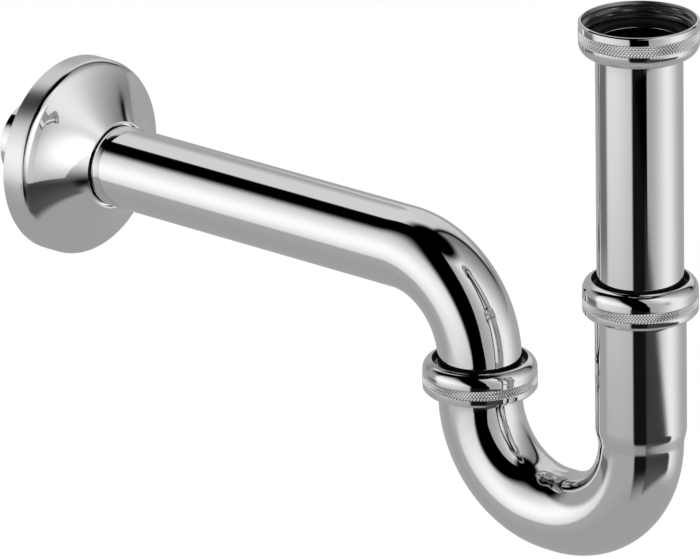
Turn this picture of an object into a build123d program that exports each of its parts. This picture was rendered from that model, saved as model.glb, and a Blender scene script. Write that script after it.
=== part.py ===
"""Tubular trap for a basin: chrome-plated brass tubes joined by knurled nuts.

Millimetres, +Z up. The origin is on the inlet axis, where the thread of the
inlet union nut starts. The outlet tube runs towards -X, to the wall.
"""
import os

from build123d import *

# Tubes
TAIL_OD = 32.0
TAIL_LENGTH = 142.0
TUBE_OD = 31.5
TUBE_WALL = 1.0

# U-bend
LEG_SPACING = 77.5
U_BEND_RADIUS = 37.0
SOCKET_WALL = 0.6
SOCKET_DEPTH = 53.5
STEP_LENGTH = 5.0
STEP_ROUND = 9.0
OUTLET_LEG_RISE = 8.5

# Outlet tube
OUTLET_FOOT_RUN = 2.1
OUTLET_BEND_RADIUS = 36.5
OUTLET_RUN = 193.5
SPIGOT_OD = 31.0
SPIGOT_LENGTH = 20.0

# How far the tail tube stands in the socket, and the room round it there
INSERTION = 45.0
SOCKET_CLEARANCE = 0.25

# Inlet union nut, with a 1 1/4 pipe thread
INLET_NUT_OD = 44.2
INLET_NUT_HEIGHT = 12.8
INLET_THREAD_BORE = 39.0
INLET_THREAD_LENGTH = 5.0
INLET_RELIEF_BORE = 40.8
INLET_MOUTH_CHAMFER = 0.6
INLET_LIP = 3.4
INLET_SHOULDER_ROUND = 4.5

# Slip nut on the inlet socket and union nut on the outlet leg
SLIP_NUT_WALL = 1.8
SLIP_NUT_HEIGHT = 13.4
OUTLET_NUT_WALL = 2.0
OUTLET_NUT_HEIGHT = 12.7
NUT_HOLE_CLEARANCE = 1.6
NUT_LIP = 2.4
NUT_CROWN_DROP = 1.2
NUT_SHOULDER_ROUND = 4.1
NUT_HOLE_ROUND = 0.6
NUT_FOOT_CHAMFER = 1.2

# Threaded collars on the U-bend's two ends, the wall counted from the socket
COLLAR_WALL = 2.55
SOCKET_COLLAR_HEIGHT = 8.0
OUTLET_COLLAR_HEIGHT = 5.6
THREAD_CLEARANCE = 0.2

# Flanges, gaskets, seal and slip rings
FLANGE_THICKNESS = 1.4
FLANGE_EDGE_CLEARANCE = 0.3
INLET_GASKET_THICKNESS = 2.2
OUTLET_GASKET_THICKNESS = 1.6
SEAT_MOUTH_WIDTH = 2.0
SEAT_DEPTH = 3.5
SEAL_RIM = 2.6
SEAL_TIP_WIDTH = 0.3
SEAL_CLEARANCE = 0.12
RING_THICKNESS = 0.8
RING_CLEARANCE = 0.6

# Wall rosette
ROSETTE_OD = 77.0
ROSETTE_RIM_DEPTH = 9.0
ROSETTE_BELL_DEPTH = 15.4
ROSETTE_WALL = 0.8
ROSETTE_RIM_ROUND = 3.0
ROSETTE_NECK_CLEARANCE = 0.6
ROSETTE_FLANK_SAG = 2.4
STUB_LENGTH = 23.4

# Radii and levels worked out from the sizes above
tail_r = TAIL_OD / 2
tail_bore_r = tail_r - TUBE_WALL
tube_r = TUBE_OD / 2
bore_r = tube_r - TUBE_WALL
socket_bore_r = tail_r + SOCKET_CLEARANCE
socket_r = socket_bore_r + SOCKET_WALL
collar_r = socket_r + COLLAR_WALL
nut_bore_r = collar_r + THREAD_CLEARANCE
packing_r = collar_r - FLANGE_EDGE_CLEARANCE
nut_hole_r = tail_r + NUT_HOLE_CLEARANCE

inlet_nut_foot_z = INLET_MOUTH_CHAMFER - INLET_NUT_HEIGHT
tail_flange_z = inlet_nut_foot_z + INLET_LIP
tail_top_z = tail_flange_z + FLANGE_THICKNESS
tail_foot_z = tail_top_z - TAIL_LENGTH
tail_flange_r = INLET_THREAD_BORE / 2 - FLANGE_EDGE_CLEARANCE

socket_mouth_z = tail_foot_z + INSERTION
step_z = socket_mouth_z - SOCKET_DEPTH
arc_z = step_z - STEP_LENGTH
slip_ring_z = socket_mouth_z + SEAL_RIM
slip_nut_top_z = slip_ring_z + RING_THICKNESS + NUT_LIP

outlet_mouth_z = arc_z + OUTLET_LEG_RISE
outlet_foot_z = outlet_mouth_z + OUTLET_GASKET_THICKNESS
outlet_ring_z = outlet_foot_z + FLANGE_THICKNESS
outlet_nut_top_z = outlet_ring_z + RING_THICKNESS + NUT_LIP
outlet_bend_z = outlet_ring_z + OUTLET_FOOT_RUN
outlet_axis_z = outlet_bend_z + OUTLET_BEND_RADIUS
outlet_bend_x = -LEG_SPACING - OUTLET_BEND_RADIUS
outlet_end_x = outlet_bend_x - OUTLET_RUN
rosette_back_x = outlet_end_x + STUB_LENGTH


def profile(points, rounds=()):
    """A face of (radius, height) points in the XZ plane, some corners rounded."""
    face = make_face(Polyline(*points, close=True))
    for corner, radius in rounds:
        corners = [v for v in face.vertices() if (Vector(*v) - Vector(*points[corner])).length < 1e-6]
        face = fillet(corners, radius)
    return Plane.XZ * face


def turned(points, rounds=()):
    """A solid turned about Z from (radius, height) points."""
    return revolve(profile(points, rounds), Axis.Z)


def ring(inner_r, outer_r, low_z, high_z):
    """A flat ring about Z."""
    return turned([(inner_r, low_z), (outer_r, low_z), (outer_r, high_z), (inner_r, high_z)])


def quarter_arc(start, end, centre, radius):
    """A quarter circle in the XZ plane."""
    towards = (Vector(*start) + Vector(*end)) / 2 - Vector(*centre)
    return ThreePointArc(start, Vector(*centre) + towards.normalized() * radius, end)


def on_outlet_leg(piece):
    """Move a piece made about the inlet axis to the outlet leg's axis."""
    return Pos(-LEG_SPACING, 0, 0) * piece


def make_inlet_union_nut():
    """Nut with its thread mouth up and a lip that hangs on the tail tube's flange."""
    outer_r = INLET_NUT_OD / 2
    thread_r = INLET_THREAD_BORE / 2
    points = [
        (thread_r + INLET_MOUTH_CHAMFER, INLET_MOUTH_CHAMFER),
        (outer_r - NUT_FOOT_CHAMFER / 2, INLET_MOUTH_CHAMFER),
        (outer_r, INLET_MOUTH_CHAMFER - NUT_FOOT_CHAMFER / 2),
        (outer_r, inlet_nut_foot_z),
        (tail_r + RING_CLEARANCE, inlet_nut_foot_z),
        (tail_r + RING_CLEARANCE, tail_flange_z),
        (INLET_RELIEF_BORE / 2, tail_flange_z),
        (INLET_RELIEF_BORE / 2, -INLET_THREAD_LENGTH),
        (thread_r, -INLET_THREAD_LENGTH),
        (thread_r, 0),
    ]
    return turned(points, [(3, INLET_SHOULDER_ROUND), (4, NUT_HOLE_ROUND)])


def make_inlet_gasket():
    """Flat washer on the tail tube's flange."""
    return ring(bore_r, tail_flange_r, tail_top_z, tail_top_z + INLET_GASKET_THICKNESS)


def make_tail_tube():
    """Straight tube with a flange turned out at its top."""
    points = [
        (tail_bore_r, tail_foot_z),
        (tail_r, tail_foot_z),
        (tail_r, tail_flange_z),
        (tail_flange_r, tail_flange_z),
        (tail_flange_r, tail_top_z),
        (tail_bore_r, tail_top_z),
    ]
    return turned(points)


def make_joint_nut(wall, height, top_z):
    """Nut with a domed shoulder and a hole for the tube at its top, thread side down."""
    outer_r = nut_bore_r + wall
    points = [
        (nut_hole_r, -NUT_LIP),
        (nut_hole_r, 0),
        (outer_r, -NUT_CROWN_DROP),
        (outer_r, NUT_FOOT_CHAMFER - height),
        (outer_r - NUT_FOOT_CHAMFER, -height),
        (nut_bore_r, -height),
        (nut_bore_r, -NUT_LIP),
    ]
    return Pos(0, 0, top_z) * turned(points, [(1, NUT_HOLE_ROUND), (2, NUT_SHOULDER_ROUND)])


def make_upper_seal():
    """Wedge ring: a rim that lies on the socket's mouth, and a lip down its tapered seat."""
    inner_r = tail_r + SEAL_CLEARANCE
    seat_r = socket_bore_r + SEAT_MOUTH_WIDTH
    taper = SEAT_MOUTH_WIDTH / SEAT_DEPTH
    tip_r = inner_r + SEAL_TIP_WIDTH
    tip_depth = (seat_r - SEAL_CLEARANCE - tip_r) / taper
    points = [
        (inner_r, socket_mouth_z - tip_depth),
        (tip_r, socket_mouth_z - tip_depth),
        (seat_r - SEAL_CLEARANCE, socket_mouth_z),
        (packing_r, socket_mouth_z),
        (packing_r, slip_ring_z),
        (inner_r, slip_ring_z),
    ]
    return turned(points)


def make_upper_slip_ring():
    """Thin ring between the seal and the slip nut's lip."""
    return ring(tail_r + RING_CLEARANCE, packing_r, slip_ring_z, slip_ring_z + RING_THICKNESS)


def make_u_bend():
    """Bent tube: deep socket and threaded collar on the inlet leg, threaded collar on the outlet leg."""
    socket_points = [
        (collar_r, 0),
        (collar_r, -SOCKET_COLLAR_HEIGHT),
        (socket_r, -SOCKET_COLLAR_HEIGHT),
        (socket_r, -SOCKET_DEPTH),
        (tube_r, -SOCKET_DEPTH - STEP_LENGTH),
        (bore_r, -SOCKET_DEPTH - STEP_LENGTH),
        (socket_bore_r, -SOCKET_DEPTH),
        (socket_bore_r, -SEAT_DEPTH),
        (socket_bore_r + SEAT_MOUTH_WIDTH, 0),
    ]
    socket = Pos(0, 0, socket_mouth_z) * turned(socket_points, [(3, STEP_ROUND), (6, STEP_ROUND)])

    bottom_z = arc_z - U_BEND_RADIUS
    inlet_arc = quarter_arc(
        (0, 0, arc_z), (-U_BEND_RADIUS, 0, bottom_z), (-U_BEND_RADIUS, 0, arc_z), U_BEND_RADIUS
    )
    bottom_run = Line((-U_BEND_RADIUS, 0, bottom_z), (U_BEND_RADIUS - LEG_SPACING, 0, bottom_z))
    outlet_arc = quarter_arc(
        (U_BEND_RADIUS - LEG_SPACING, 0, bottom_z),
        (-LEG_SPACING, 0, arc_z),
        (U_BEND_RADIUS - LEG_SPACING, 0, arc_z),
        U_BEND_RADIUS,
    )
    outlet_leg = Line((-LEG_SPACING, 0, arc_z), (-LEG_SPACING, 0, outlet_mouth_z))
    section = Plane((0, 0, arc_z), z_dir=(0, 0, -1)) * (Circle(tube_r) - Circle(bore_r))
    bend = sweep(section, path=inlet_arc + bottom_run + outlet_arc + outlet_leg)

    collar_foot_z = outlet_mouth_z - OUTLET_COLLAR_HEIGHT
    outlet_collar = on_outlet_leg(ring(tube_r - TUBE_WALL / 2, collar_r, collar_foot_z, outlet_mouth_z))
    return socket + bend + outlet_collar


def make_outlet_gasket():
    """Flat washer on the outlet leg's mouth."""
    return on_outlet_leg(ring(bore_r, packing_r, outlet_mouth_z, outlet_foot_z))


def make_outlet_slip_ring():
    """Thin ring between the outlet tube's flange and the nut's lip."""
    return on_outlet_leg(
        ring(tube_r + RING_CLEARANCE, packing_r, outlet_ring_z, outlet_ring_z + RING_THICKNESS)
    )


def make_outlet_tube():
    """Bent tube with a flange at its foot and a plain end, drawn to size, for the wall."""
    foot = (-LEG_SPACING, 0, outlet_foot_z)
    bend_start = (-LEG_SPACING, 0, outlet_bend_z)
    bend_end = (outlet_bend_x, 0, outlet_axis_z)
    bend_centre = (outlet_bend_x, 0, outlet_bend_z)
    arc = quarter_arc(bend_start, bend_end, bend_centre, OUTLET_BEND_RADIUS)
    path = Line(foot, bend_start) + arc + Line(bend_end, (outlet_end_x, 0, outlet_axis_z))
    section = Plane(foot, z_dir=(0, 0, 1)) * (Circle(tube_r) - Circle(bore_r))
    flange = ring(tube_r - TUBE_WALL / 2, packing_r, outlet_foot_z, outlet_ring_z)
    sizing_cut = ring(SPIGOT_OD / 2, TUBE_OD, 0, SPIGOT_LENGTH)
    sizing_cut = Pos(outlet_end_x, 0, outlet_axis_z) * Rot(0, 90, 0) * sizing_cut
    return sweep(section, path=path) + on_outlet_leg(flange) - sizing_cut


def make_wall_rosette():
    """Pressed bell: a straight rim against the wall and a hollow flank up to the neck."""
    rim_r = ROSETTE_OD / 2
    neck_r = tube_r + ROSETTE_NECK_CLEARANCE + ROSETTE_WALL
    front = ROSETTE_RIM_DEPTH + ROSETTE_BELL_DEPTH
    rim_edge = (rim_r, ROSETTE_RIM_DEPTH)
    neck_edge = (neck_r, front)
    middle = ((rim_r + neck_r) / 2 - ROSETTE_FLANK_SAG, ROSETTE_RIM_DEPTH + ROSETTE_BELL_DEPTH / 2)
    skin = (
        Line((rim_r, 0), rim_edge)
        + ThreePointArc(rim_edge, middle, neck_edge)
        + Line(neck_edge, (neck_r - ROSETTE_WALL, front))
    )
    inner_rim_r = rim_r - ROSETTE_WALL
    inner_neck = (neck_r - ROSETTE_WALL, front)
    inner_rim = (inner_rim_r, ROSETTE_RIM_DEPTH - ROSETTE_WALL)
    inner_middle = (middle[0] - ROSETTE_WALL, middle[1] - ROSETTE_WALL)
    lining = (
        ThreePointArc(inner_neck, inner_middle, inner_rim)
        + Line(inner_rim, (inner_rim_r, 0))
        + Line((inner_rim_r, 0), (rim_r, 0))
    )
    face = make_face(skin + lining)
    for edge, radius in ((rim_edge, ROSETTE_RIM_ROUND), (inner_rim, ROSETTE_RIM_ROUND - ROSETTE_WALL)):
        corner = [v for v in face.vertices() if (Vector(*v) - Vector(*edge)).length < 1e-6]
        face = fillet(corner, radius)
    bell = revolve(Plane.XZ * face, Axis.Z)
    return Pos(rosette_back_x, 0, outlet_axis_z) * Rot(0, 90, 0) * bell


pieces = {
    "inlet_union_nut": make_inlet_union_nut(),
    "inlet_gasket": make_inlet_gasket(),
    "tail_tube": make_tail_tube(),
    "upper_slip_nut": make_joint_nut(SLIP_NUT_WALL, SLIP_NUT_HEIGHT, slip_nut_top_z),
    "upper_slip_ring": make_upper_slip_ring(),
    "upper_seal": make_upper_seal(),
    "u_bend": make_u_bend(),
    "outlet_union_nut": on_outlet_leg(make_joint_nut(OUTLET_NUT_WALL, OUTLET_NUT_HEIGHT, outlet_nut_top_z)),
    "outlet_slip_ring": make_outlet_slip_ring(),
    "outlet_gasket": make_outlet_gasket(),
    "outlet_tube": make_outlet_tube(),
    "wall_rosette": make_wall_rosette(),
}

os.makedirs("parts", exist_ok=True)
for node, piece in pieces.items():
    export_step(piece, f"parts/{node}.step")
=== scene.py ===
"""Looks of the tubular trap: plated tubes and knurled nuts, rubber packings, and a light tent round them.

Laid out as an add-on and run as a script. Lengths are in metres, in the frame of the CAD solids.
"""
import math

import bpy
from bpy.props import FloatProperty, FloatVectorProperty, IntProperty, PointerProperty
from mathutils import Matrix, Vector


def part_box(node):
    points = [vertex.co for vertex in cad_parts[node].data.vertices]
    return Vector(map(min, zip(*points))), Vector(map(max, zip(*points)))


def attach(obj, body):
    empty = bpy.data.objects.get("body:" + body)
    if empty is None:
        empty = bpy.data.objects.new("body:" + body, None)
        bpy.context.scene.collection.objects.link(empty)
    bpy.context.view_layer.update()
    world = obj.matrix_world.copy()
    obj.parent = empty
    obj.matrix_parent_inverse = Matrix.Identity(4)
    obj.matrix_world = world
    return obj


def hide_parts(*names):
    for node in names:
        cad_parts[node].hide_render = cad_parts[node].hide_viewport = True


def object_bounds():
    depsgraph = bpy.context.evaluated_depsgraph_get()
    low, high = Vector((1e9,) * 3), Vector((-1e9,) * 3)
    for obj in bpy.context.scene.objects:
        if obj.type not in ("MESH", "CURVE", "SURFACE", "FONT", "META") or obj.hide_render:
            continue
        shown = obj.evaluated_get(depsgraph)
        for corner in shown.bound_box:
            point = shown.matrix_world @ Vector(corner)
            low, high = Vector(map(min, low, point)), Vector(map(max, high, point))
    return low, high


bl_info = {
    "name": "Tubular trap",
    "version": (1, 0, 0),
    "blender": (4, 5, 0),
    "location": "View3D > Sidebar > Trap",
    "description": "Builds the tubes, nuts, packings and rosette of a tubular trap, and its studio",
    "category": "Object",
}

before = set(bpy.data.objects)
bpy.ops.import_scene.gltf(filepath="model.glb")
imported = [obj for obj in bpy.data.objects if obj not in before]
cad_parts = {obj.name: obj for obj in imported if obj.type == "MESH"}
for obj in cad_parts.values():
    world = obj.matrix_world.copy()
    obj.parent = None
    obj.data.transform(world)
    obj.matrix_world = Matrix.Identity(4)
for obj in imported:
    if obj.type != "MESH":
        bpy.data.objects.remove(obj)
CAD_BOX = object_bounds()
MM = 0.001
# Differences smaller than this count as none
NEAR = 1e-6
# Room left between packings and the faces that they lie on
HAIR = 0.01 * MM
# Room round the tubes in the slip rings, and beside the wedge seal
RING_ROOM = 0.6 * MM
SEAL_ROOM = 0.12 * MM
# Rounding of small edges, from the finest to the softest
FINE_EDGE = 0.15 * MM
SMALL_EDGE = 0.2 * MM
PLAIN_EDGE = 0.25 * MM
SOFT_EDGE = 0.3 * MM
GASKET_EDGE = 0.45 * MM
# Points round the pieces
TAIL_COLUMNS = 192
BEND_COLUMNS = 144
RING_COLUMNS = 144
ROSETTE_COLUMNS = 256
# Longest stretch between two rows of points along a tube
TAIL_STEP = 10 * MM
BEND_STEP = 1.5 * MM
# Points to a diamond of the knurl, rows to a turn of the thread, and pieces of the rosette's flank
KNURL_CUTS = 6
THREAD_CUTS = 10
FLANK_PIECES = 48
# Points of the rosette's flank that the rounds outside and inside its rim take up
OUTER_ROUND_POINTS = 8
INNER_ROUND_POINTS = 4
# Pieces to a radian of a round, and the fewest in a round
ROUND_PIECES = 9
FEWEST_PIECES = 4
# Edges sharper than this stay sharp
SHARP_ANGLE = math.radians(32)
# Faces turned to the axis by more than this belong to the inside
INSIDE_TURN = -0.2
# Shares of the pitch over which the thread runs out at its mouth and at its foot
MOUTH_RUN_OUT = 0.5
FOOT_RUN_OUT = 0.3
# Steepness of the thread's ridges, and the flat left at its roots
RIDGE_SLOPE = 1.5
ROOT_FLAT = 0.25


def size(name, default_mm, description):
    """A length that a user can change, given in millimetres."""
    return FloatProperty(
        name=name, description=description, default=default_mm * MM, unit="LENGTH", precision=5
    )


def share(name, default, description):
    """A number without a unit that a user can change."""
    return FloatProperty(name=name, description=description, default=default)


def colour(name, default, description):
    """A colour that a user can change."""
    return FloatVectorProperty(
        name=name, description=description, default=default, size=4, subtype="COLOR", min=0, max=1
    )


def turn(name, default_degrees, description):
    """An angle that a user can change, given in degrees."""
    radians = math.radians(default_degrees)
    return FloatProperty(
        name=name, description=description, default=radians, unit="ROTATION", subtype="ANGLE"
    )


class TubeSizes(bpy.types.PropertyGroup):
    """Sizes of the tail tube, the U-bend and the outlet tube."""

    tail_radius: size("Tail radius", 16.0, "Outside of the straight tail tube")
    tube_radius: size("Tube radius", 15.75, "Outside of the bent tubes")
    spigot_radius: size("Spigot radius", 15.5, "Outside of the drawn end that goes into the wall")
    spigot_length: size("Spigot length", 20.0, "Length of the drawn end")
    wall: size("Wall", 1.0, "Thickness of the tube wall")
    socket_radius: size("Socket radius", 16.85, "Outside of the opened-out inlet leg")
    socket_wall: size("Socket wall", 0.6, "Thickness of the opened-out wall")
    socket_depth: size("Socket depth", 53.5, "From the socket's mouth to the step")
    step_length: size("Step length", 5.0, "Length over which the socket comes down to the tube")
    step_round: size("Step round", 9.0, "Rounding of the step's two corners")
    seat_width: size("Seat width", 2.0, "How far the tapered seat opens at the mouth")
    seat_depth: size("Seat depth", 3.5, "Depth of the tapered seat")
    collar_radius: size("Collar radius", 19.4, "Outside of the threaded collars")
    socket_collar: size("Socket collar", 8.0, "Height of the collar on the socket")
    outlet_collar: size("Outlet collar", 5.6, "Height of the collar on the outlet leg")
    leg_spacing: size("Leg spacing", 77.5, "Between the axes of the U-bend's legs")
    u_bend_radius: size("U-bend radius", 37.0, "Of the tube's axis in the U-bend")
    outlet_foot_run: size("Outlet foot run", 2.1, "Straight foot of the outlet tube above its flange")
    outlet_bend_radius: size("Outlet bend radius", 36.5, "Of the tube's axis in the outlet bend")
    flange: size("Flange", 1.4, "Thickness of the turned-out flanges")
    edge_round: size("Edge round", 0.25, "Rounding of cut tube edges")


class NutSizes(bpy.types.PropertyGroup):
    """Sizes of the three knurled nuts."""

    slip_height: size("Slip nut height", 13.4, "From the slip nut's foot to the edge of its hole")
    outlet_height: size("Outlet nut height", 12.7, "From the outlet nut's foot to the edge of its hole")
    hole_radius: size("Hole radius", 17.6, "Hole for the tube in the slip nuts")
    hole_round: size("Hole round", 0.6, "Rounding of the hole's edge")
    lip: size("Lip", 2.4, "Thickness of the lip round the hole")
    crown_drop: size("Crown drop", 1.2, "How far the domed shoulder falls towards the flank")
    shoulder_round: size("Shoulder round", 4.1, "Rounding of the domed shoulder")
    bore_radius: size("Bore radius", 19.6, "Threaded bore of the slip nuts")
    foot_chamfer: size("Foot chamfer", 1.2, "Chamfer at the foot of the slip nuts")
    band_foot: size("Band foot", 3.15, "From the slip nuts' foot to their knurled band")
    band_height: size("Band height", 3.6, "Height of the slip nuts' knurled band")
    inlet_band_height: size("Inlet band height", 4.3, "Height of the inlet nut's knurled band")
    inlet_hole_radius: size("Inlet hole radius", 16.6, "Hole for the tail tube in the inlet nut")
    inlet_lip: size("Inlet lip", 3.4, "Thickness of the inlet nut's lip")
    inlet_band_top: size("Inlet band top", 3.0, "From the inlet nut's mouth to its knurled band")
    inlet_shoulder_round: size("Inlet shoulder round", 4.5, "Rounding of the inlet nut's lower shoulder")
    thread_length: size("Thread length", 5.0, "Length of the inlet thread")
    thread_root: size("Thread root", 20.7, "Radius of the inlet thread's roots")
    thread_depth: size("Thread depth", 1.15, "From the inlet thread's roots to its crests")
    thread_pitch: size("Thread pitch", 2.309, "Rise of the inlet thread in one turn")
    relief_radius: size("Relief radius", 20.4, "Radius of the hollow below the inlet thread")
    knurl_count: IntProperty(name="Knurls", description="Diamonds round a nut", default=116, min=20)
    knurl_depth: size("Knurl depth", 0.36, "Depth of the grooves between diamonds")
    knurl_tall: share("Knurl proportion", 1.25, "Height of a diamond over its width")
    knurl_flat: share("Knurl flat", 0.34, "How much of a diamond is left flat")
    knurl_fade: size("Knurl fade", 0.35, "Run-out of the grooves at the edges of the band")
    band_rise: size("Band rise", 0.08, "How far the knurled band stands out of the flank")


class RosetteSizes(bpy.types.PropertyGroup):
    """Sizes of the wall rosette."""

    rim_depth: size("Rim depth", 10.0, "Width of the straight rim")
    rim_round: size("Rim round", 3.8, "Rounding between rim and flank")
    inner_round: size("Inner round", 2.2, "Rounding inside, between rim and flank")
    wall: size("Wall", 0.8, "Thickness of the pressed sheet")
    flank_sag: size("Flank sag", 2.4, "How far the flank is hollowed")
    neck_turn: size("Neck turn", 1.8, "Length of the neck's edge turned in along the tube")
    neck_clearance: size("Neck clearance", 0.6, "Room between the neck and the tube")


class FinishColours(bpy.types.PropertyGroup):
    """Colours and polish of the finishes, and the near-black painted shade inside the slip nuts and the
    rosette.
    """

    plating: colour("Plating", (0.78, 0.785, 0.79, 1), "Tint of the chrome plating")
    polish: share("Polish roughness", 0.045, "Roughness of the polished plating")
    satin: share("Satin roughness", 0.27, "Roughness of the brushed rosette rim")
    ripple: size("Ripple", 0.012, "Height of the faint unevenness in the plating")
    # Inside: dull plating, darkened below real plating as painted shade of the inlet nut's hollow
    inside: colour("Inside", (0.26, 0.26, 0.265, 1), "Dull plating inside the inlet nut")
    # Painted shade colour: near-black, standing for the shadow inside the rosette and the slip nuts, whose
    # real inside is dull plating
    painted_shade_colour: colour("Lining", (0.02, 0.02, 0.021, 1), "Dark inside of the rosette and the slip nuts")
    rubber: colour("Rubber", (0.012, 0.012, 0.013, 1), "Black rubber of the packings")
    ring: colour("Slip ring", (0.03, 0.03, 0.03, 1), "Plastic of the upper slip ring")


class StudioSettings(bpy.types.PropertyGroup):
    """Light tent and camera."""

    azimuth: turn("Azimuth", 41.5, "Camera's place round the trap")
    elevation: turn("Elevation", 20.5, "Camera's height above the horizon")
    roll: turn("Roll", -1.09, "Camera's tilt about its own axis")
    distance: size("Distance", 3000.0, "From the camera to what it looks at")
    focal_pixels: share("Focal length", 8010.0, "In pixels of a frame 700 wide")
    aim: FloatVectorProperty(
        name="Aim",
        description="Point that the camera turns round",
        default=(-0.12, 0, -0.1094),
        unit="LENGTH",
    )
    aside: size("Aside", -15.71, "Camera moved to its right")
    above: size("Above", -16.9, "Camera moved up its own frame")
    tent_radius: size("Tent radius", 8000.0, "Of the tent that the plating reflects")
    floor_drop: size("Floor drop", 60.0, "From the trap's lowest point to the floor")


class Wire:
    """A value in a node tree, so that shader maths is written as Python expressions."""

    def __init__(self, tree, socket=None):
        self.tree = tree
        self.socket = socket

    def node(self, kind, settings, inputs, output=0):
        """Add a node of this kind, with its settings first and then its sockets' values or links."""
        made = self.tree.nodes.new(kind)
        for name, value in settings.items():
            setattr(made, name, value)
        for name, value in inputs.items():
            if isinstance(value, Wire):
                self.tree.links.new(value.socket, made.inputs[name])
            else:
                made.inputs[name].default_value = value
        return Wire(self.tree, made.outputs[output])

    def maths(self, operation, first, second=0.0):
        """Add a Math node."""
        return self.node("ShaderNodeMath", {"operation": operation}, {0: first, 1: second})

    def __add__(self, other):
        return self.maths("ADD", self, other)

    def __radd__(self, other):
        return self.maths("ADD", other, self)

    def __sub__(self, other):
        return self.maths("SUBTRACT", self, other)

    def __rsub__(self, other):
        return self.maths("SUBTRACT", other, self)

    def __mul__(self, other):
        return self.maths("MULTIPLY", self, other)

    def __truediv__(self, other):
        return self.maths("DIVIDE", self, other)

    def __neg__(self):
        return self.maths("MULTIPLY", self, -1.0)

    def step(self, low, high):
        """0 below low, 1 above high, smooth between."""
        ends = {"Value": self, "From Min": low, "From Max": high}
        return self.node("ShaderNodeMapRange", {"interpolation_type": "SMOOTHSTEP"}, ends)

    def dot(self, line):
        """How far this vector reaches along a fixed line."""
        return self.node("ShaderNodeVectorMath", {"operation": "DOT_PRODUCT"}, {0: self, 1: line}, "Value")

    def into(self, socket):
        """Link this value to a node's socket."""
        self.tree.links.new(self.socket, socket)


# Outlines and meshes


def rounded(corners):
    """Closed outline of (radius, height, round) corners, each round drawn as a row of points."""
    outline = []
    count = len(corners)
    for index, (radius, height, round_size) in enumerate(corners):
        here = Vector((radius, height))
        if round_size <= 0:
            outline.append(tuple(here))
            continue
        before = Vector(corners[index - 1][:2])
        after = Vector(corners[(index + 1) % count][:2])
        to_before = (before - here).normalized()
        to_after = (after - here).normalized()
        half_angle = to_before.angle(to_after) / 2
        reach = round_size / math.tan(half_angle)
        centre = here + (to_before + to_after).normalized() * round_size / math.sin(half_angle)
        start = here + to_before * reach - centre
        end = here + to_after * reach - centre
        sweep = start.angle_signed(end)
        steps = max(FEWEST_PIECES, int(abs(sweep) * ROUND_PIECES))
        for step in range(steps + 1):
            angle = -sweep * step / steps
            turned = Vector((
                start.x * math.cos(angle) - start.y * math.sin(angle),
                start.x * math.sin(angle) + start.y * math.cos(angle),
            ))
            outline.append(tuple(centre + turned))
    return outline


def walk(start, heading, legs, distance):
    """Point and heading in the XZ plane at a distance along the legs.

    A straight leg is given as (length, 0), and a bent one as (radius, angle).
    """
    x, z = start
    for position, (measure, bend) in enumerate(legs):
        last = position == len(legs) - 1
        if bend == 0:
            if distance <= measure or last:
                return x + distance * math.cos(heading), z + distance * math.sin(heading), heading
            x += measure * math.cos(heading)
            z += measure * math.sin(heading)
            distance -= measure
            continue
        length = measure * abs(bend)
        side = math.copysign(math.pi / 2, bend)
        centre_x = x + measure * math.cos(heading + side)
        centre_z = z + measure * math.sin(heading + side)
        turned = heading + bend * min(distance, length) / length
        end_x = centre_x - measure * math.cos(turned + side)
        end_z = centre_z - measure * math.sin(turned + side)
        if distance <= length:
            return end_x, end_z, turned
        x, z, heading = end_x, end_z, turned
        distance -= length
    return x, z, heading


def skin(name, outline, place, columns, reliefs=()):
    """Mesh object of a closed outline carried round an axis.

    The placing gives the point at (along, radius, angle), and each relief is cut from the radius in its rows.
    """
    points = []
    for row, (radius, along) in enumerate(outline):
        cut = next((relief for relief in reliefs if relief.rows[row]), None)
        for column in range(columns):
            angle = 2 * math.pi * column / columns
            here = radius - cut(along, angle) if cut else radius
            points.append(place(along, here, angle))
    faces = []
    rows = len(outline)
    for row in range(rows):
        here = row * columns
        upper = (row + 1) % rows * columns
        for column in range(columns):
            beside = (column + 1) % columns
            faces.append((here + column, here + beside, upper + beside, upper + column))
    return mesh_object(name, points, faces)


def enclosed(points, faces):
    """Six times the volume that the faces close in, below zero where they look inwards."""
    total = 0.0
    for face in faces:
        for first, second, third in (face[:3], (face[0],) + face[-2:]):
            total += Vector(points[first]).dot(Vector(points[second]).cross(Vector(points[third])))
    return total


def mesh_object(name, points, faces):
    """Smooth-shaded mesh object with its sharp edges kept sharp and its faces turned outwards."""
    mesh = bpy.data.meshes.new(name)
    mesh.from_pydata(points, [], faces)
    mesh.validate()
    obj = bpy.data.objects.new(name, mesh)
    bpy.context.scene.collection.objects.link(obj)
    if enclosed(points, faces) < 0:
        mesh.flip_normals()
    mesh.shade_smooth()
    mesh.set_sharp_from_angle(angle=SHARP_ANGLE)
    return obj


def upright(x):
    """Placing about a vertical axis at x."""

    def place(along, radius, angle):
        return (x + radius * math.cos(angle), radius * math.sin(angle), along)

    return place


def towards_room(x, z):
    """Placing about a level axis that leaves the wall at x, along +X."""

    def place(along, radius, angle):
        return (x + along, radius * math.cos(angle), z + radius * math.sin(angle))

    return place


def along_bends(start, heading, legs):
    """Placing about a bent axis in the XZ plane."""
    known = {}

    def place(along, radius, angle):
        key = round(along, 9)
        if key not in known:
            known[key] = walk(start, heading, legs, along)
        x, z, here = known[key]
        out = radius * math.cos(angle)
        return (x - out * math.sin(here), radius * math.sin(angle), z + out * math.cos(here))

    return place


def finished(obj, body, node, material):
    """Give a piece its body and its material, and hide the CAD node that it stands for."""
    obj.data.materials.append(material)
    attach(obj, body)
    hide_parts(node)


def inside_finish(obj, centre, axis, material, backwards=False):
    """Give the faces that look towards the axis, or backwards along it too, the material of an inside, which
    carries painted shade.
    """
    obj.data.materials.append(material)
    for face in obj.data.polygons:
        out = face.center - centre
        out -= axis * out.dot(axis)
        outwards = face.normal.dot(out.normalized())
        if backwards:
            outwards += face.normal.dot(axis)
        face.material_index = int(outwards < INSIDE_TURN)


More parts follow.
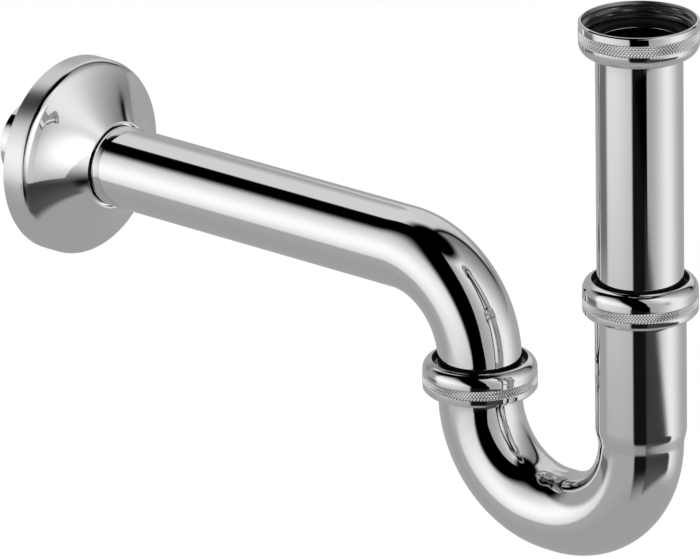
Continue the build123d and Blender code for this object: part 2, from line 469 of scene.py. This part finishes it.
def spread(outline, step):
    """The outline with its long straight pieces cut so that none is longer than the step along the axis."""
    full = []
    for (radius, along), (next_radius, next_along) in zip(outline, outline[1:] + outline[:1]):
        cuts = max(1, math.ceil(abs(next_along - along) / step - NEAR))
        for cut in range(cuts):
            part = cut / cuts
            full.append((radius + (next_radius - radius) * part, along + (next_along - along) * part))
    return full


# Finishes


def new_material(name):
    """A material with its shader node and an empty wire on its tree."""
    material = bpy.data.materials.new(name)
    material.use_nodes = True
    return material, material.node_tree.nodes["Principled BSDF"], Wire(material.node_tree)


def plated_brass():
    """Polished chrome plating with a faint unevenness."""
    if "plated_brass" in bpy.data.materials:
        return bpy.data.materials["plated_brass"]
    look = bpy.context.scene.trap_colours
    material, shader, wire = new_material("plated_brass")
    shader.inputs["Base Color"].default_value = look.plating
    shader.inputs["Metallic"].default_value = 1.0
    place = wire.node("ShaderNodeTexCoord", {}, {}, "Object")
    haze = wire.node("ShaderNodeTexNoise", {}, {"Vector": place, "Scale": 90.0, "Detail": 4.0})
    wave = wire.node("ShaderNodeTexNoise", {}, {"Vector": place, "Scale": 34.0, "Detail": 1.0})
    roughness = look.polish + (haze - 0.5) * 0.03
    roughness.into(shader.inputs["Roughness"])
    bump = wire.node("ShaderNodeBump", {}, {"Strength": 1.0, "Distance": look.ripple, "Height": wave})
    bump.into(shader.inputs["Normal"])
    return material


def dull_plating_and_shade():
    """Thin dull plating inside the inlet nut and on the outlet's slip ring, its colour darkened below real
    plating as painted shade of the nut's hollow.
    """
    if "dull_plating_and_shade" in bpy.data.materials:
        return bpy.data.materials["dull_plating_and_shade"]
    look = bpy.context.scene.trap_colours
    material, shader, wire = new_material("dull_plating_and_shade")
    shader.inputs["Base Color"].default_value = look.inside
    shader.inputs["Metallic"].default_value = 1.0
    place = wire.node("ShaderNodeTexCoord", {}, {}, "Object")
    haze = wire.node("ShaderNodeTexNoise", {}, {"Vector": place, "Scale": 200.0, "Detail": 4.0})
    roughness = 0.3 + (haze - 0.5) * 0.15
    roughness.into(shader.inputs["Roughness"])
    return material


def painted_shade_lining():
    """Near-black painted shade inside the rosette and the slip nuts: the shadow in their gaps, painted over
    what is really dull plating.
    """
    if "painted_shade_lining" in bpy.data.materials:
        return bpy.data.materials["painted_shade_lining"]
    look = bpy.context.scene.trap_colours
    material, shader, _ = new_material("painted_shade_lining")
    shader.inputs["Base Color"].default_value = look.painted_shade_colour
    shader.inputs["Specular IOR Level"].default_value = 0.2
    shader.inputs["Roughness"].default_value = 0.7
    return material


def brushed_rosette():
    """Chrome plating that is satin on the rosette's straight rim and polished on its flank."""
    look = bpy.context.scene.trap_colours
    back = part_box("wall_rosette")[0].x
    sizes = bpy.context.scene.trap_rosette
    material, shader, wire = new_material("brushed_rosette")
    shader.inputs["Base Color"].default_value = look.plating
    shader.inputs["Metallic"].default_value = 1.0
    place = wire.node("ShaderNodeTexCoord", {}, {}, "Object")
    across = wire.node("ShaderNodeSeparateXYZ", {}, {"Vector": place}, "X")
    satin_end = back + sizes.rim_depth - 1.2 * MM
    satin_fade = 0.4 * MM
    rim = 1.0 - across.step(satin_end - satin_fade, satin_end)
    strokes = {"W": across, "Scale": 9000.0, "Detail": 2.0}
    fine = wire.node("ShaderNodeTexNoise", {"noise_dimensions": "1D"}, strokes)
    wave = wire.node("ShaderNodeTexNoise", {}, {"Vector": place, "Scale": 34.0, "Detail": 1.0})
    roughness = look.polish + rim * (look.satin - look.polish + (fine - 0.5) * 0.2)
    roughness.into(shader.inputs["Roughness"])
    stroke_depth = 0.004 * MM
    height = wave * look.ripple + rim * fine * stroke_depth
    bump = wire.node("ShaderNodeBump", {}, {"Strength": 1.0, "Distance": 1.0, "Height": height})
    bump.into(shader.inputs["Normal"])
    return material


def black_rubber():
    """Black moulded rubber."""
    if "black_rubber" in bpy.data.materials:
        return bpy.data.materials["black_rubber"]
    look = bpy.context.scene.trap_colours
    material, shader, wire = new_material("black_rubber")
    shader.inputs["Base Color"].default_value = look.rubber
    shader.inputs["Specular IOR Level"].default_value = 0.2
    place = wire.node("ShaderNodeTexCoord", {}, {}, "Object")
    grain = wire.node("ShaderNodeTexNoise", {}, {"Vector": place, "Scale": 900.0, "Detail": 3.0})
    roughness = 0.6 + (grain - 0.5) * 0.2
    roughness.into(shader.inputs["Roughness"])
    return material


def ring_plastic():
    """Black plastic of the upper slip ring."""
    look = bpy.context.scene.trap_colours
    material, shader, _ = new_material("ring_plastic")
    shader.inputs["Base Color"].default_value = look.ring
    shader.inputs["Roughness"].default_value = 0.35
    return material


# Pieces


class TRAP_OT_tubes(bpy.types.Operator):
    """Build the tail tube, the U-bend and the outlet tube"""

    bl_idname = "trap.tubes"
    bl_label = "Tubes"

    def execute(self, context):
        sizes = context.scene.trap_tubes
        self.tail_tube(sizes)
        self.u_bend(sizes)
        self.outlet_tube(sizes)
        return {"FINISHED"}

    def tail_tube(self, sizes):
        low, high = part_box("tail_tube")
        flange_radius = high.y
        bore = sizes.tail_radius - sizes.wall
        edge = sizes.edge_round
        outline = rounded([
            (bore, low.z, edge),
            (sizes.tail_radius, low.z, edge),
            (sizes.tail_radius, high.z - sizes.flange, edge),
            (flange_radius, high.z - sizes.flange, edge),
            (flange_radius, high.z, edge),
            (bore, high.z, edge),
        ])
        obj = skin("tail_tube_polished", spread(outline, TAIL_STEP), upright(0), TAIL_COLUMNS)
        finished(obj, "tail", "tail_tube", plated_brass())

    def u_bend(self, sizes):
        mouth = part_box("u_bend")[1].z
        edge = sizes.edge_round
        bore = sizes.tube_radius - sizes.wall
        socket_bore = sizes.socket_radius - sizes.socket_wall
        step = sizes.socket_depth
        straight = step + sizes.step_length
        bottom = sizes.leg_spacing - 2 * sizes.u_bend_radius
        outlet_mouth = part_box("outlet_gasket")[0].z
        rise = outlet_mouth - (mouth - straight)
        quarter = math.pi / 2
        bend = (sizes.u_bend_radius, -quarter)
        legs = [(straight, 0), bend, (bottom, 0), bend, (rise, 0)]
        end = straight + 2 * sizes.u_bend_radius * quarter + bottom + rise
        corners = [
            (sizes.collar_radius, 0, edge),
            (sizes.collar_radius, sizes.socket_collar, edge),
            (sizes.socket_radius, sizes.socket_collar, edge),
            (sizes.socket_radius, step, sizes.step_round),
            (sizes.tube_radius, straight, sizes.step_round),
            (sizes.tube_radius, end - sizes.outlet_collar, 0),
            (sizes.collar_radius, end - sizes.outlet_collar, edge),
            (sizes.collar_radius, end, edge),
            (bore, end, edge),
            (bore, straight, 0),
            (socket_bore, step, sizes.step_round),
            (socket_bore, sizes.seat_depth, 0),
            (socket_bore + sizes.seat_width, 0, 0),
        ]
        outline = spread(rounded(corners), BEND_STEP)
        obj = skin("u_bend_polished", outline, along_bends((0, mouth), -quarter, legs), BEND_COLUMNS)
        finished(obj, "bend", "u_bend", plated_brass())

    def outlet_tube(self, sizes):
        low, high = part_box("outlet_tube")
        edge = sizes.edge_round
        bore = sizes.tube_radius - sizes.wall
        flange_radius = high.y
        quarter = math.pi / 2
        start = (-sizes.leg_spacing, low.z)
        bend_end = -sizes.leg_spacing - sizes.outlet_bend_radius
        run = bend_end - low.x
        foot = sizes.flange + sizes.outlet_foot_run
        legs = [(foot, 0), (sizes.outlet_bend_radius, quarter), (run, 0)]
        end = foot + sizes.outlet_bend_radius * quarter + run
        spigot = end - sizes.spigot_length
        taper = 0.4 * MM
        outline = rounded([
            (bore, 0, edge),
            (flange_radius, 0, edge),
            (flange_radius, sizes.flange, edge),
            (sizes.tube_radius, sizes.flange, 0),
            (sizes.tube_radius, spigot, 0),
            (sizes.spigot_radius, spigot + taper, 0),
            (sizes.spigot_radius, end, edge),
            (bore, end, edge),
        ])
        place = along_bends(start, quarter, legs)
        obj = skin("outlet_tube_polished", spread(outline, BEND_STEP), place, BEND_COLUMNS)
        finished(obj, "outlet", "outlet_tube", plated_brass())


class Knurl:
    """Diamond knurl: how far the surface lies below the diamonds' tips."""

    def __init__(self, outline, low, high, sizes, tip_radius):
        self.low = low
        self.high = high
        self.fade = sizes.knurl_fade
        self.flat = sizes.knurl_flat
        self.count = sizes.knurl_count
        self.depth = sizes.knurl_depth
        self.lead = 2 * math.pi * tip_radius / self.count * sizes.knurl_tall
        self.rows = [
            low - NEAR <= along <= high + NEAR and radius > tip_radius - NEAR
            for radius, along in outline
        ]

    def __call__(self, along, angle):
        rise = (along - self.low) / self.lead
        around = angle * self.count / (2 * math.pi)
        left = abs(2 * ((around + rise) % 1.0) - 1)
        right = abs(2 * ((around - rise) % 1.0) - 1)
        run_out = min(1.0, (self.high - along) / self.fade, (along - self.low) / self.fade)
        groove = max(0.0, 1 - min(left, right) - self.flat) / (1 - self.flat)
        return self.depth * max(0.0, run_out) * groove


class Thread:
    """Internal thread: how far the surface stands in from the roots."""

    def __init__(self, outline, low, high, sizes):
        self.pitch = sizes.thread_pitch
        self.depth = sizes.thread_depth
        self.low = low
        self.high = high
        self.rows = [
            low - NEAR <= along <= high + NEAR and abs(radius - sizes.thread_root) < NEAR
            for radius, along in outline
        ]

    def __call__(self, along, angle):
        turns = along / self.pitch - angle / (2 * math.pi)
        ridge = 1 - abs(2 * (turns % 1.0) - 1)
        from_mouth = (self.high - along) / (MOUTH_RUN_OUT * self.pitch)
        from_foot = (along - self.low) / (FOOT_RUN_OUT * self.pitch)
        run_out = max(0.0, min(1.0, from_mouth, from_foot))
        return self.depth * run_out * min(1.0, max(0.0, RIDGE_SLOPE * ridge - ROOT_FLAT))


def close_rows(outline, low, high, radius, step):
    """The outline with rows about a step apart between two heights on its flank of this radius."""
    full = []
    for here, there in zip(outline, outline[1:] + outline[:1]):
        full.append(here)
        bottom, top = sorted((here[1], there[1]))
        on_flank = abs(here[0] - radius) < NEAR and abs(there[0] - radius) < NEAR
        if not on_flank or bottom > low + NEAR or top < high - NEAR:
            continue
        count = max(1, round((high - low) / step))
        rows = [low + (high - low) * place / count for place in range(count + 1)]
        if there[1] < here[1]:
            rows.reverse()
        full.extend((radius, row) for row in rows if bottom + NEAR < row < top - NEAR)
    return full


class TRAP_OT_nuts(bpy.types.Operator):
    """Build the slip nut, the outlet union nut and the inlet union nut"""

    bl_idname = "trap.nuts"
    bl_label = "Knurled nuts"

    def execute(self, context):
        sizes = context.scene.trap_nuts
        leg = -context.scene.trap_tubes.leg_spacing
        self.joint_nut(sizes, "upper_slip_nut", "slip_nut", 0.0, sizes.slip_height)
        self.joint_nut(sizes, "outlet_union_nut", "outlet_nut", leg, sizes.outlet_height)
        self.inlet_nut(sizes)
        return {"FINISHED"}

    def joint_nut(self, sizes, node, body, x, height):
        low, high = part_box(node)
        outer = high.y
        foot = low.z
        top = foot + height
        band_low = foot + sizes.band_foot
        band_high = band_low + sizes.band_height
        flank = outer - sizes.band_rise
        groove = sizes.band_rise
        corners = [
            (sizes.hole_radius, top - sizes.lip, SMALL_EDGE),
            (sizes.hole_radius, top, sizes.hole_round),
            (flank, top - sizes.crown_drop, sizes.shoulder_round),
            (flank, band_high + groove, 0),
            (outer, band_high, 0),
            (outer, band_low, 0),
            (flank, band_low - groove, 0),
            (flank, foot + sizes.foot_chamfer, SOFT_EDGE),
            (outer - sizes.foot_chamfer, foot, PLAIN_EDGE),
            (sizes.bore_radius, foot, FINE_EDGE),
            (sizes.bore_radius, top - sizes.lip, FINE_EDGE),
        ]
        outline = self.knurl_rows(sizes, corners, band_low, band_high, outer)
        reliefs = [Knurl(outline, band_low, band_high, sizes, outer)]
        # The slip nuts' insides get the near-black painted shade
        self.build(sizes, node, body, x, outline, reliefs, painted_shade_lining())

    def knurl_rows(self, sizes, corners, low, high, outer):
        """The outline through the corners, with rows for the knurl."""
        step = 2 * math.pi * outer / sizes.knurl_count / KNURL_CUTS
        return close_rows(rounded(corners), low, high, outer, step)

    def build(self, sizes, node, body, x, outline, reliefs, inside):
        columns = sizes.knurl_count * KNURL_CUTS
        obj = skin(node + "_knurled", outline, upright(x), columns, reliefs)
        finished(obj, body, node, plated_brass())
        inside_finish(obj, Vector((x, 0, 0)), Vector((0, 0, 1)), inside)

    def inlet_nut(self, sizes):
        low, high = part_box("inlet_union_nut")
        outer = high.y
        foot, top = low.z, high.z
        band_high = top - sizes.inlet_band_top
        band_low = band_high - sizes.inlet_band_height
        flank = outer - sizes.band_rise
        groove = sizes.band_rise
        ledge = foot + sizes.inlet_lip
        root = sizes.thread_root
        thread_foot = -sizes.thread_length
        lead_in = 0.3 * MM
        mouth_edge = 0.1 * MM
        mouth_inset = 0.6 * MM
        mouth_drop = 0.5 * MM
        corners = [
            (root + lead_in, top, mouth_edge),
            (outer - mouth_inset, top, PLAIN_EDGE),
            (flank, top - mouth_drop, PLAIN_EDGE),
            (flank, band_high + groove, 0),
            (outer, band_high, 0),
            (outer, band_low, 0),
            (flank, band_low - groove, 0),
            (flank, foot, sizes.inlet_shoulder_round),
            (sizes.inlet_hole_radius, foot, sizes.hole_round),
            (sizes.inlet_hole_radius, ledge, SMALL_EDGE),
            (sizes.relief_radius, ledge, SMALL_EDGE),
            (sizes.relief_radius, thread_foot - lead_in, 0),
            (root, thread_foot, 0),
            (root, 0, 0),
        ]
        outline = self.knurl_rows(sizes, corners, band_low, band_high, outer)
        outline = close_rows(outline, thread_foot, 0.0, root, sizes.thread_pitch / THREAD_CUTS)
        reliefs = [
            Knurl(outline, band_low, band_high, sizes, outer),
            Thread(outline, thread_foot, 0.0, sizes),
        ]
        # The inlet nut's inside gets dull plating darkened as painted shade
        self.build(sizes, "inlet_union_nut", "inlet_nut", 0.0, outline, reliefs, dull_plating_and_shade())


class TRAP_OT_rosette(bpy.types.Operator):
    """Build the wall rosette"""

    bl_idname = "trap.rosette"
    bl_label = "Wall rosette"

    def execute(self, context):
        sizes = context.scene.trap_rosette
        low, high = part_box("wall_rosette")
        rim = high.y
        front = high.x - low.x
        neck = context.scene.trap_tubes.tube_radius + sizes.neck_clearance + sizes.wall
        edge = FINE_EDGE
        outer = self.flank((rim, sizes.rim_depth), (neck, front), sizes.flank_sag)
        inner_rim = (rim - sizes.wall, sizes.rim_depth - sizes.wall)
        inner = self.flank((neck - sizes.wall, front - sizes.neck_turn), inner_rim, sizes.flank_sag)
        corners = [(rim, 0, edge), (rim, sizes.rim_depth, sizes.rim_round)]
        corners += [(radius, along, 0) for radius, along in outer[OUTER_ROUND_POINTS:-1]]
        corners += [(neck, front, edge), (neck - sizes.wall, front, edge)]
        corners += [(radius, along, 0) for radius, along in inner[:-INNER_ROUND_POINTS]]
        corners += [(inner_rim[0], inner_rim[1], sizes.inner_round), (rim - sizes.wall, 0, edge)]
        centre_z = (low.z + high.z) / 2
        place = towards_room(low.x, centre_z)
        obj = skin("wall_rosette_pressed", rounded(corners), place, ROSETTE_COLUMNS)
        finished(obj, "rosette", "wall_rosette", brushed_rosette())
        centre = Vector((low.x, 0, centre_z))
        # The rosette's inside gets the near-black painted shade
        inside_finish(obj, centre, Vector((1, 0, 0)), painted_shade_lining(), backwards=True)
        return {"FINISHED"}

    def flank(self, start, end, sag):
        """Points of the arc from start to end whose middle lies nearer the axis by the sag."""
        first, last = Vector(start), Vector(end)
        middle = (first + last) / 2 - Vector((sag, 0))
        chord = last - first
        normal = Vector((-chord.y, chord.x)).normalized()
        rise = (middle - first).dot(normal)
        shift = (middle - first).dot(chord.normalized()) - chord.length / 2
        half = chord.length / 2
        centre_rise = (half * half - shift * shift - rise * rise) / (-2 * rise)
        centre = (first + last) / 2 + normal * centre_rise
        begin = first - centre
        finish = last - centre
        sweep = math.atan2(begin.x * finish.y - begin.y * finish.x, begin.dot(finish))
        points = []
        for step in range(FLANK_PIECES + 1):
            angle = sweep * step / FLANK_PIECES
            points.append((
                centre.x + begin.x * math.cos(angle) - begin.y * math.sin(angle),
                centre.y + begin.x * math.sin(angle) + begin.y * math.cos(angle),
            ))
        return points


class TRAP_OT_packings(bpy.types.Operator):
    """Build the gaskets, the wedge seal and the slip rings"""

    bl_idname = "trap.packings"
    bl_label = "Packings and rings"

    def execute(self, context):
        tubes = context.scene.trap_tubes
        leg = -tubes.leg_spacing
        bore = tubes.tube_radius - tubes.wall
        upper_hole = tubes.tail_radius + RING_ROOM
        outlet_hole = tubes.tube_radius + RING_ROOM
        rubber = black_rubber()
        plastic = ring_plastic()
        plating = dull_plating_and_shade()
        self.washer("inlet_gasket", "tail", bore, 0.0, GASKET_EDGE, "rubber", rubber)
        self.washer("outlet_gasket", "bend", bore, leg, SOFT_EDGE, "rubber", rubber)
        self.washer("upper_slip_ring", "slip_ring", upper_hole, 0.0, SMALL_EDGE, "slip_ring", plastic)
        self.washer("outlet_slip_ring", "outlet_ring", outlet_hole, leg, SMALL_EDGE, "chrome", plating)
        self.wedge_seal(tubes, rubber)
        return {"FINISHED"}

    def washer(self, node, body, hole, x, edge, slot, material):
        low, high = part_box(node)
        outer = high.y
        bottom = low.z + HAIR
        top = high.z - HAIR
        outline = rounded([
            (hole, bottom, edge),
            (outer, bottom, edge),
            (outer, top, edge),
            (hole, top, edge),
        ])
        obj = skin(node + "_rounded", outline, upright(x), RING_COLUMNS)
        finished(obj, body, node, material)

    def wedge_seal(self, tubes, material):
        low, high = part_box("upper_seal")
        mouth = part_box("u_bend")[1].z
        inner = tubes.tail_radius + SEAL_ROOM
        seat = tubes.socket_radius - tubes.socket_wall + tubes.seat_width
        outer = high.y
        toe = 0.3 * MM
        crown = 0.5 * MM
        outline = rounded([
            (inner, low.z, 0),
            (inner + toe, low.z, 0),
            (seat - SEAL_ROOM, mouth, 0),
            (outer, mouth, SOFT_EDGE),
            (outer, high.z, crown),
            (inner, high.z, crown),
        ])
        obj = skin("upper_seal_moulded", outline, upright(0.0), RING_COLUMNS)
        finished(obj, "seal", "upper_seal", material)


# Studio

# Half the floor's width, and the near and far limits of what the camera sees
FLOOR_HALF = 30.0
NEAR_LIMIT = 0.05
FAR_LIMIT = 200.0
# Width of the camera's sensor in millimetres, and of the photograph in pixels
SENSOR_WIDTH = 36.0
PHOTO_WIDTH = 700
# Brightness of the tent where the plating has to look white
TENT_GLOW = 1 / 0.78
# Rosette card: its two ends to the camera's right and towards it, its foot and top, its light and soft edge
CARD_LEFT = (-0.2, 0.06)
CARD_RIGHT = (-0.005, 0.03)
CARD_LOW = -0.18
CARD_HIGH = 0.08
CARD_GLOW = 1.1
CARD_FADE = 0.1


class TentLight:
    """Brightness of the tent at an angle round from the camera and an angle above the horizon.

    Angles are in degrees, to the right and up. Brightness is a share of the tent's own light.
    """

    def __init__(self, wire, around, lift):
        self.wire = wire
        self.around = around
        self.lift = lift
        self.above = wire.maths("MAXIMUM", lift, 0.0)
        self.below = wire.maths("MAXIMUM", -lift, 0.0)
        self.back_edge = around.step(-131.0, -126.0)

    def spot(self, angle, middle, width):
        """Soft spot of light round a middle angle."""
        offset = (angle - middle) / width
        return self.wire.maths("EXPONENT", -(offset * offset))

    def left_side(self):
        """Panel left of the dark gap, with a curved top, and the dimmer return at its far end."""
        around, lift, above = self.around, self.lift, self.above
        gap_edge = -20.5 - above * above * 0.0095 + self.below * 0.1
        from_middle = around + 72.0
        top = 57.0 - from_middle * from_middle * 0.022
        far_end = around.step(-104.0, -92.0)
        blur = 0.7 + above * 0.11
        panel = far_end * (gap_edge - around).step(-blur, blur) * (top - lift).step(-2.0, 22.0)
        light = 0.4 + self.spot(lift, 3.0, 28.0) * self.spot(around, -78.0, 60.0) * 0.57
        light = 0.36 + (light - 0.36) * lift.step(-23.5, -18.5)
        dark_line = lift.step(-21.0, -20.2) * (1.0 - lift.step(-18.0, -15.0))
        far_return = (1.0 - far_end) * self.back_edge * (1.0 - lift.step(15.0, 38.0))
        return panel * light + far_return * (0.33 - dark_line * 0.19)

    def right_side(self):
        """Panel right of the dark gap, brightest at the side, with a slanting dark arm behind it."""
        around, lift, above = self.around, self.lift, self.above
        gap_edge = 12.0 - above * above * 0.0042 + self.below * 0.3
        beside_arm = around - lift * 0.444
        arm = self.spot(beside_arm, 123.3, 6.0) * lift.step(8.0, 16.0)
        panel = (around - gap_edge).step(-0.7, 0.7) * (1.0 - arm)
        light = 0.34 + self.spot(around + above * 0.5, 76.0, 30.0) * 0.46
        shade = self.spot(around, 52.0, 6.0) * (1.0 - lift.step(5.0, 25.0)) * lift.step(-16.0, -8.0)
        light = light - shade * 0.2
        light = light - self.spot(around, 130.0, 20.0) * lift.step(1.0, 4.0) * 0.14
        light = light + beside_arm.step(126.0, 132.0) * lift.step(8.0, 18.0) * 0.24
        return panel * light

    def back_side(self):
        """Panel behind the trap."""
        return (1.0 - self.back_edge) * (0.35 + self.lift.step(25.0, 42.0) * 0.27)

    def with_patch(self, light):
        """The light with the dark patch on the floor in front, darkest on its left."""
        around, lift = self.around, self.lift
        from_gap = around - 12.0
        top = -19.4 - from_gap * 0.04
        foot = -48.0 + from_gap * 0.2
        right = around.step(8.0, 16.0)
        patch = around.step(-24.0, -18.0) * (1.0 - around.step(76.0, 84.0)) * (top - lift).step(-0.35, 0.35)
        right_part = right * (lift - foot).step(-4.0, 3.0)
        left_part = (1.0 - right) * lift.step(-54.0, -26.0)
        patch = patch * (right_part + left_part)
        patch_light = 0.006 + right * (0.034 + lift.step(-22.0, -45.0) * 0.05)
        return light * (1.0 - patch) + patch * patch_light

    def whole(self):
        """All panels under a dark ceiling, with the floor and its patch."""
        light = self.left_side() + self.right_side() + self.back_side()
        light = light * (1.0 - self.lift.step(61.0, 73.0))
        floor = 1.0 - self.lift.step(-44.0, -27.0)
        return self.with_patch(light * (1.0 - floor) + floor * 0.328)


class TRAP_OT_stage(bpy.types.Operator):
    """Build the floor, the light tent with its dark gaps, and the camera"""

    bl_idname = "trap.stage"
    bl_label = "Studio"

    def execute(self, context):
        scene = context.scene
        studio = scene.trap_studio
        azimuth = studio.azimuth
        self.right = Vector((math.cos(azimuth), math.sin(azimuth), 0))
        self.front = Vector((math.sin(azimuth), -math.cos(azimuth), 0))
        self.centre = Vector(studio.aim)
        self.floor(studio)
        self.tent(studio)
        self.rosette_card()
        self.camera(scene, studio)
        self.world(scene)
        scene.view_settings.view_transform = "Standard"
        return {"FINISHED"}

    def place(self, right, front):
        """Point to the camera's right of the trap's middle and towards the camera."""
        return self.centre + self.right * right + self.front * front

    def glow(self, name, brightness):
        """Material that only glows."""
        material, shader, wire = new_material(name)
        shader.inputs["Base Color"].default_value = (0, 0, 0, 1)
        shader.inputs["Specular IOR Level"].default_value = 0.0
        shader.inputs["Emission Color"].default_value = (1, 1, 1, 1)
        shader.inputs["Emission Strength"].default_value = brightness
        return material, shader, wire

    def floor(self, studio):
        half = FLOOR_HALF
        level = CAD_BOX[0].z - studio.floor_drop
        points = [(-half, -half, level), (half, -half, level), (half, half, level), (-half, half, level)]
        floor = mesh_object("pale_floor", points, [(0, 1, 2, 3)])
        floor.data.materials.append(self.glow("pale_floor", 1.0)[0])
        floor.visible_glossy = False

    def tent(self, studio):
        bpy.ops.mesh.primitive_uv_sphere_add(
            segments=64, ring_count=32, radius=studio.tent_radius, location=self.centre
        )
        tent = bpy.context.object
        tent.name = "light_tent"
        tent.visible_camera = False
        tent.visible_shadow = False
        material, shader, wire = self.glow("light_tent", TENT_GLOW)
        place = wire.node("ShaderNodeTexCoord", {}, {}, "Object")
        towards = wire.node("ShaderNodeVectorMath", {"operation": "NORMALIZE"}, {0: place})
        side = towards.dot(self.right)
        ahead = towards.dot(self.front)
        height = wire.node("ShaderNodeSeparateXYZ", {}, {"Vector": towards}, "Z")
        around = wire.maths("ARCTAN2", side, ahead) * math.degrees(1)
        lift = wire.maths("ARCSINE", height) * math.degrees(1)
        TentLight(wire, around, lift).whole().into(shader.inputs["Emission Color"])
        tent.data.materials.append(material)

    def rosette_card(self):
        """White see-through card with soft edges that lights only the rosette."""
        left = self.place(*CARD_LEFT)
        right = self.place(*CARD_RIGHT)
        points = [
            (right.x, right.y, CARD_LOW),
            (left.x, left.y, CARD_LOW),
            (left.x, left.y, CARD_HIGH),
            (right.x, right.y, CARD_HIGH),
        ]
        card = mesh_object("rosette_card", points, [(0, 1, 2, 3)])
        material, shader, wire = self.glow("rosette_card", CARD_GLOW)
        place = wire.node("ShaderNodeTexCoord", {}, {}, "Object")
        line = (right - left) / (right - left).length_squared
        along = place.dot(line) - left.dot(line)
        rise = wire.node("ShaderNodeSeparateXYZ", {}, {"Vector": place}, "Z")
        soft = along.step(0.0, 0.35) * (1.0 - along.step(0.6, 1.0))
        soft = soft * rise.step(CARD_LOW, CARD_LOW + CARD_FADE)
        soft = soft * (1.0 - rise.step(CARD_HIGH - CARD_FADE, CARD_HIGH))
        soft.into(shader.inputs["Emission Color"])
        clear = wire.node("ShaderNodeBsdfTransparent", {}, {})
        lit = wire.node("ShaderNodeAddShader", {}, {0: clear, 1: Wire(wire.tree, shader.outputs[0])})
        lit.into(wire.tree.nodes["Material Output"].inputs["Surface"])
        lit_pieces = bpy.data.collections.new("lit_by_card")
        lit_pieces.objects.link(bpy.data.objects["wall_rosette_pressed"])
        card.light_linking.receiver_collection = lit_pieces
        card.data.materials.append(material)
        card.visible_camera = False
        card.visible_shadow = False

    def camera(self, scene, studio):
        lens = bpy.data.cameras.new("photo_view")
        camera = bpy.data.objects.new("photo_view", lens)
        scene.collection.objects.link(camera)
        lift = studio.elevation
        back = self.front * math.cos(lift) + Vector((0, 0, math.sin(lift)))
        up = back.cross(self.right)
        right = self.right * math.cos(studio.roll) + up * math.sin(studio.roll)
        up = up * math.cos(studio.roll) - self.right * math.sin(studio.roll)
        place = self.centre + right * studio.aside + up * studio.above + back * studio.distance
        camera.matrix_world = Matrix((
            (right.x, up.x, back.x, place.x),
            (right.y, up.y, back.y, place.y),
            (right.z, up.z, back.z, place.z),
            (0, 0, 0, 1),
        ))
        lens.sensor_fit = "HORIZONTAL"
        lens.sensor_width = SENSOR_WIDTH
        lens.lens = SENSOR_WIDTH * studio.focal_pixels / PHOTO_WIDTH
        lens.clip_start = NEAR_LIMIT
        lens.clip_end = FAR_LIMIT
        scene.camera = camera

    def world(self, scene):
        world = bpy.data.worlds.new("white_room")
        world.use_nodes = True
        world.node_tree.nodes["Background"].inputs["Color"].default_value = (1, 1, 1, 1)
        scene.world = world


class TRAP_PT_panel(bpy.types.Panel):
    """Lists the pieces of the trap"""

    bl_label = "Tubular trap"
    bl_idname = "TRAP_PT_panel"
    bl_space_type = "VIEW_3D"
    bl_region_type = "UI"
    bl_category = "Trap"

    def draw(self, context):
        for operator in OPERATORS:
            self.layout.operator(operator.bl_idname)
        for group in GROUPS:
            settings = getattr(context.scene, group)
            box = self.layout.box()
            for name in settings.bl_rna.properties.keys():
                if name not in ("rna_type", "name"):
                    box.prop(settings, name)


OPERATORS = [TRAP_OT_tubes, TRAP_OT_nuts, TRAP_OT_rosette, TRAP_OT_packings, TRAP_OT_stage]
GROUPS = {
    "trap_tubes": TubeSizes,
    "trap_nuts": NutSizes,
    "trap_rosette": RosetteSizes,
    "trap_colours": FinishColours,
    "trap_studio": StudioSettings,
}


def register():
    """Register the classes and hang the settings on the scene."""
    for group in [*GROUPS.values(), *OPERATORS, TRAP_PT_panel]:
        bpy.utils.register_class(group)
    for name, group in GROUPS.items():
        setattr(bpy.types.Scene, name, PointerProperty(type=group))


def unregister():
    """Take the settings and classes away again."""
    for name in GROUPS:
        delattr(bpy.types.Scene, name)
    for group in [TRAP_PT_panel, *OPERATORS, *GROUPS.values()]:
        bpy.utils.unregister_class(group)


def main():
    """Build every piece and the studio."""
    register()
    bpy.ops.trap.tubes()
    bpy.ops.trap.nuts()
    bpy.ops.trap.rosette()
    bpy.ops.trap.packings()
    bpy.ops.trap.stage()


if __name__ == "__main__":
    main()
